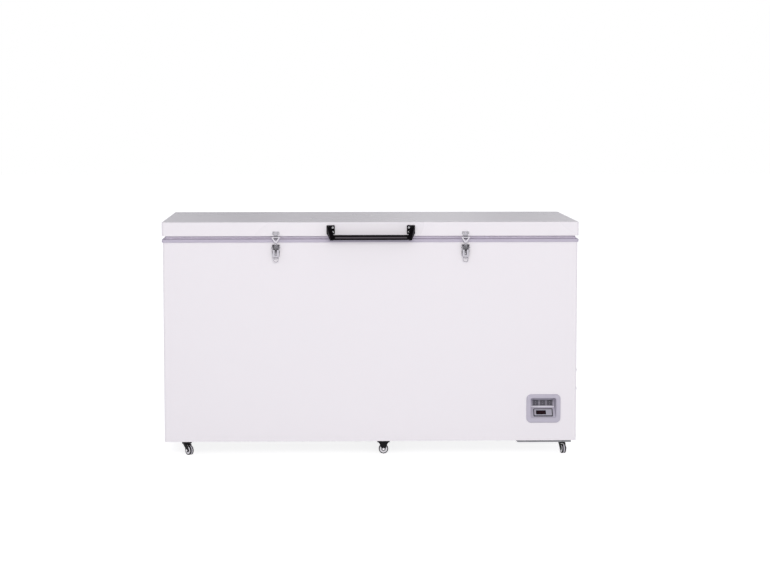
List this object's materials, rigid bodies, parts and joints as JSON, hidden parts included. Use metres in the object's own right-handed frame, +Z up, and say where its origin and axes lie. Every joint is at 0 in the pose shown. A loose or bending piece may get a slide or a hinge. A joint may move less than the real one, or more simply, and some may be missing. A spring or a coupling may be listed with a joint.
{
  "type": "laboratory chest freezer",
  "caption": "Long low-temperature laboratory chest freezer with a hinged insulated lid, bar handle, draw latches, recessed control panel and castors.",
  "frame": {"origin": "on the floor, under the centre of the cabinet's footprint", "axes": "+Z up, +X to the right along the cabinet's length as seen from the front, front faces -Y"},
  "size_m": [1.66, 0.808, 0.94],
  "materials": {
    "painted_steel": "satin",
    "lid_steel": "satin",
    "zinc_sheet": "satin",
    "foam": "matte",
    "liner_aluminium": "satin",
    "collar_plastic": "satin",
    "lid_liner_plastic": "satin",
    "gasket": "matte",
    "chrome": "polished",
    "latch_chrome": "polished",
    "handle_dark": "satin",
    "bracket_dark": "satin",
    "panel_grey": "satin",
    "switch_black": "satin",
    "rocker_grey": "satin",
    "facia_grey": "satin",
    "window_dark": "gloss",
    "castor_black": "satin",
    "castor_steel": "satin",
    "wheel_rubber": "matte",
    "grille_white": "satin",
    "compressor_black": "satin",
    "grommet": "matte",
    "fan_metal": "satin",
    "copper": "satin"
  },
  "bodies": {
    "cabinet": {"front_panel": "painted_steel", "back_panel": "painted_steel", "left_panel": "painted_steel", "right_panel": "painted_steel", "bottom_plate": "zinc_sheet", "foam_insulation": "foam", "inner_liner": "liner_aluminium", "top_collar": "collar_plastic", "hinge_cabinet_leaves": "castor_steel", "hinge_pins": "chrome", "latch_bases": "latch_chrome", "control_housing": "panel_grey", "switch_bodies": "switch_black", "controller_body": "switch_black", "controller_facia": "facia_grey", "controller_window": "window_dark", "castor_plates": "castor_steel", "rigid_castor_forks": "castor_black", "mounting_rails": "castor_black", "base_pan": "zinc_sheet", "side_grille": "grille_white", "rear_grille": "grille_white", "power_inlet": "switch_black", "compressor": "compressor_black", "compressor_feet": "grommet", "terminal_box": "switch_black", "condenser": "fan_metal", "fan_shroud": "zinc_sheet", "fan_motor": "castor_steel", "filter_drier": "copper", "refrigerant_lines": "copper"},
    "lid": {"lid_shell": "lid_steel", "lid_foam": "foam", "lid_liner": "lid_liner_plastic", "lid_gasket": "gasket", "hinge_lid_leaves": "castor_steel", "handle_bar": "handle_dark", "handle_brackets": "bracket_dark", "lid_screws": "chrome", "keepers": "latch_chrome"},
    "latch_lever_left": {"latch_lever_left": "latch_chrome"},
    "latch_lever_right": {"latch_lever_right": "latch_chrome"},
    "latch_claw_left": {"latch_claw_left": "latch_chrome"},
    "latch_claw_right": {"latch_claw_right": "latch_chrome"},
    "latch_ring_left": {"latch_ring_left": "latch_chrome"},
    "latch_ring_right": {"latch_ring_right": "latch_chrome"},
    "rocker_1": {"rocker_1": "rocker_grey"},
    "rocker_2": {"rocker_2": "rocker_grey"},
    "rocker_3": {"rocker_3": "rocker_grey"},
    "fan_rotor": {"fan_rotor": "fan_metal"},
    "castor_fork_front_left": {"castor_fork_front_left": "castor_black"},
    "castor_fork_front_right": {"castor_fork_front_right": "castor_black"},
    "castor_fork_rear_left": {"castor_fork_rear_left": "castor_black"},
    "castor_fork_rear_right": {"castor_fork_rear_right": "castor_black"},
    "castor_wheel_front_left": {"castor_wheel_front_left": "wheel_rubber"},
    "castor_wheel_front_right": {"castor_wheel_front_right": "wheel_rubber"},
    "castor_wheel_rear_left": {"castor_wheel_rear_left": "wheel_rubber"},
    "castor_wheel_rear_right": {"castor_wheel_rear_right": "wheel_rubber"},
    "castor_wheel_front_middle": {"castor_wheel_front_middle": "wheel_rubber"},
    "castor_wheel_rear_middle": {"castor_wheel_rear_middle": "wheel_rubber"}
  },
  "joints": [
    {"name": "lid_hinge", "type": "hinge", "parent": "cabinet", "child": "lid", "pos_m": [0, 0.387, 0.876], "axis": [-1, 0, 0], "range_deg": [0, 80]},
    {"name": "lever_left", "type": "hinge", "parent": "cabinet", "child": "latch_lever_left", "pos_m": [-0.377, -0.376, 0.839], "axis": [-1, 0, 0], "range_deg": [0, 110]},
    {"name": "claw_left", "type": "hinge", "parent": "latch_lever_left", "child": "latch_claw_left", "pos_m": [-0.377, -0.372, 0.823], "axis": [-1, 0, 0], "range_deg": [-128, 0]},
    {"name": "ring_left", "type": "hinge", "parent": "latch_lever_left", "child": "latch_ring_left", "pos_m": [-0.377, -0.3782, 0.7994], "axis": [-1, 0, 0], "range_deg": [-25, 80]},
    {"name": "lever_right", "type": "hinge", "parent": "cabinet", "child": "latch_lever_right", "pos_m": [0.377, -0.376, 0.839], "axis": [-1, 0, 0], "range_deg": [0, 110]},
    {"name": "claw_right", "type": "hinge", "parent": "latch_lever_right", "child": "latch_claw_right", "pos_m": [0.377, -0.372, 0.823], "axis": [-1, 0, 0], "range_deg": [-128, 0]},
    {"name": "ring_right", "type": "hinge", "parent": "latch_lever_right", "child": "latch_ring_right", "pos_m": [0.377, -0.3782, 0.7994], "axis": [-1, 0, 0], "range_deg": [-25, 80]},
    {"name": "rocker_1_tilt", "type": "hinge", "parent": "cabinet", "child": "rocker_1", "pos_m": [0.665, -0.329, 0.2075], "axis": [1, 0, 0], "range_deg": [0, 14]},
    {"name": "rocker_2_tilt", "type": "hinge", "parent": "cabinet", "child": "rocker_2", "pos_m": [0.693, -0.329, 0.2075], "axis": [1, 0, 0], "range_deg": [0, 14]},
    {"name": "rocker_3_tilt", "type": "hinge", "parent": "cabinet", "child": "rocker_3", "pos_m": [0.721, -0.329, 0.2075], "axis": [1, 0, 0], "range_deg": [0, 14]},
    {"name": "swivel_front_left", "type": "hinge", "parent": "cabinet", "child": "castor_fork_front_left", "pos_m": [-0.74, -0.305, 0.042], "axis": [0, 0, 1], "continuous": true},
    {"name": "wheel_front_left", "type": "hinge", "parent": "castor_fork_front_left", "child": "castor_wheel_front_left", "pos_m": [-0.73036, -0.31649, 0.019], "axis": [-0.766, -0.6428, 0], "continuous": true},
    {"name": "swivel_front_right", "type": "hinge", "parent": "cabinet", "child": "castor_fork_front_right", "pos_m": [0.775, -0.305, 0.042], "axis": [0, 0, 1], "continuous": true},
    {"name": "wheel_front_right", "type": "hinge", "parent": "castor_fork_front_right", "child": "castor_wheel_front_right", "pos_m": [0.77812, -0.31967, 0.019], "axis": [-0.9781, -0.2079, 0], "continuous": true},
    {"name": "swivel_rear_left", "type": "hinge", "parent": "cabinet", "child": "castor_fork_rear_left", "pos_m": [-0.74, 0.305, 0.042], "axis": [0, 0, 1], "continuous": true},
    {"name": "wheel_rear_left", "type": "hinge", "parent": "castor_fork_rear_left", "child": "castor_wheel_rear_left", "pos_m": [-0.7264, 0.31134, 0.019], "axis": [0.4226, -0.9063, 0], "continuous": true},
    {"name": "swivel_rear_right", "type": "hinge", "parent": "cabinet", "child": "castor_fork_rear_right", "pos_m": [0.775, 0.305, 0.042], "axis": [0, 0, 1], "continuous": true},
    {"name": "wheel_rear_right", "type": "hinge", "parent": "castor_fork_rear_right", "child": "castor_wheel_rear_right", "pos_m": [0.76201, 0.3125, 0.019], "axis": [0.5, 0.866, 0], "continuous": true},
    {"name": "wheel_front_middle", "type": "hinge", "parent": "cabinet", "child": "castor_wheel_front_middle", "pos_m": [0.052, -0.305, 0.019], "axis": [0, -1, 0], "continuous": true},
    {"name": "wheel_rear_middle", "type": "hinge", "parent": "cabinet", "child": "castor_wheel_rear_middle", "pos_m": [0.052, 0.305, 0.019], "axis": [0, -1, 0], "continuous": true},
    {"name": "fan_spin", "type": "hinge", "parent": "cabinet", "child": "fan_rotor", "pos_m": [0.695, -0.189, 0.1565], "axis": [0, -1, 0], "continuous": true}
  ],
  "couplings": [
    {"joint": "claw_left", "follows": "lever_left", "ratio": -1.15},
    {"joint": "claw_right", "follows": "lever_right", "ratio": -1.15}
  ]
}
